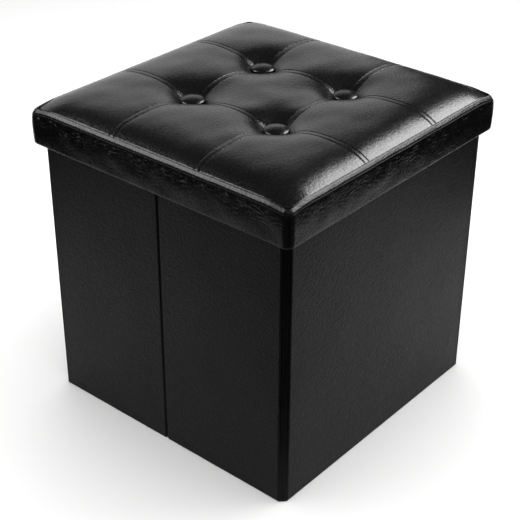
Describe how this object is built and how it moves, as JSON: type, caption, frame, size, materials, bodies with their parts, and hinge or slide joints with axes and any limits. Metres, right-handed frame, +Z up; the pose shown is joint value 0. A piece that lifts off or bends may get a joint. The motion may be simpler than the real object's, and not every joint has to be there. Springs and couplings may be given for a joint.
{
  "type": "folding storage ottoman",
  "caption": "Cube ottoman with a lift-off, button-tufted padded lid over a storage box whose sides fold inwards flat.",
  "frame": {"origin": "middle of the square footprint, on the floor", "axes": "+Z up, front (one-piece panel) is -Y, folding sides are -X and +X"},
  "size_m": [0.38, 0.38, 0.3935],
  "materials": {
    "leather": "satin",
    "foam": "matte",
    "lining_cloth": "matte",
    "board": "matte",
    "ribbon": "matte",
    "cord": "matte",
    "washer": "matte",
    "staple": "satin"
  },
  "bodies": {
    "base": {"base_board": "board", "base_top_sheet": "lining_cloth", "base_bottom_sheet": "lining_cloth", "base_pull_tab": "ribbon"},
    "front_panel": {"front_cover": "leather", "front_board": "board", "front_lining": "lining_cloth", "front_left_corner": "leather", "front_right_corner": "leather"},
    "left_front_half": {"left_front_cover": "leather", "left_front_board": "board", "left_front_lining": "lining_cloth", "left_fold_strip": "leather"},
    "left_rear_half": {"left_rear_cover": "leather", "left_rear_board": "board", "left_rear_lining": "lining_cloth"},
    "back_panel": {"back_cover": "leather", "back_board": "board", "back_lining": "lining_cloth", "rear_left_corner": "leather", "rear_right_corner": "leather"},
    "right_rear_half": {"right_rear_cover": "leather", "right_rear_board": "board", "right_rear_lining": "lining_cloth"},
    "right_front_half": {"right_front_cover": "leather", "right_front_board": "board", "right_front_lining": "lining_cloth", "right_fold_strip": "leather"},
    "lid": {"lid_board": "board", "lid_lining": "lining_cloth", "foam_pad": "foam", "top_cover": "leather", "tufting_cords": "cord", "tufting_washers": "washer", "lid_staples": "staple", "button_front_left": "leather", "button_front_right": "leather", "button_rear_left": "leather", "button_rear_right": "leather", "front_skirt_cover": "leather", "front_skirt_board": "board", "front_skirt_lining": "lining_cloth", "right_skirt_cover": "leather", "right_skirt_board": "board", "right_skirt_lining": "lining_cloth", "back_skirt_cover": "leather", "back_skirt_board": "board", "back_skirt_lining": "lining_cloth", "left_skirt_cover": "leather", "left_skirt_board": "board", "left_skirt_lining": "lining_cloth"}
  },
  "joints": [
    {"name": "frame_rise", "type": "slide", "parent": "base", "child": "front_panel", "axis": [0, 0, 1], "range_m": [0, 0.19]},
    {"name": "lid_lift", "type": "slide", "parent": "front_panel", "child": "lid", "axis": [0, 0, 1], "range_m": [0, 0.2]},
    {"name": "side_fold", "type": "hinge", "parent": "front_panel", "child": "left_front_half", "pos_m": [-0.176, -0.1702, 0.178], "axis": [0, 0, -1], "range_deg": [0, 90], "deforming": ["front_left_corner"]},
    {"name": "left_centre_fold", "type": "hinge", "parent": "left_front_half", "child": "left_rear_half", "pos_m": [-0.1809, 0, 0.178], "axis": [0, 0, 1], "range_deg": [0, 180], "deforming": ["left_fold_strip"]},
    {"name": "rear_left_fold", "type": "hinge", "parent": "left_rear_half", "child": "back_panel", "pos_m": [-0.176, 0.1702, 0.178], "axis": [0, 0, -1], "range_deg": [0, 90], "deforming": ["rear_left_corner"]},
    {"name": "rear_right_fold", "type": "hinge", "parent": "back_panel", "child": "right_rear_half", "pos_m": [0.176, 0.1702, 0.178], "axis": [0, 0, -1], "range_deg": [0, 90], "deforming": ["rear_right_corner"]},
    {"name": "front_right_fold", "type": "hinge", "parent": "front_panel", "child": "right_front_half", "pos_m": [0.176, -0.1702, 0.178], "axis": [0, 0, 1], "range_deg": [0, 90], "deforming": ["front_right_corner", "right_fold_strip"]}
  ],
  "couplings": [
    {"joint": "left_centre_fold", "follows": "side_fold", "ratio": 2},
    {"joint": "rear_left_fold", "follows": "side_fold", "ratio": 1},
    {"joint": "rear_right_fold", "follows": "side_fold", "ratio": 1},
    {"joint": "front_right_fold", "follows": "side_fold", "ratio": 1},
    {"joint": "frame_rise", "follows": "side_fold", "m_per_rad": 0.12}
  ]
}
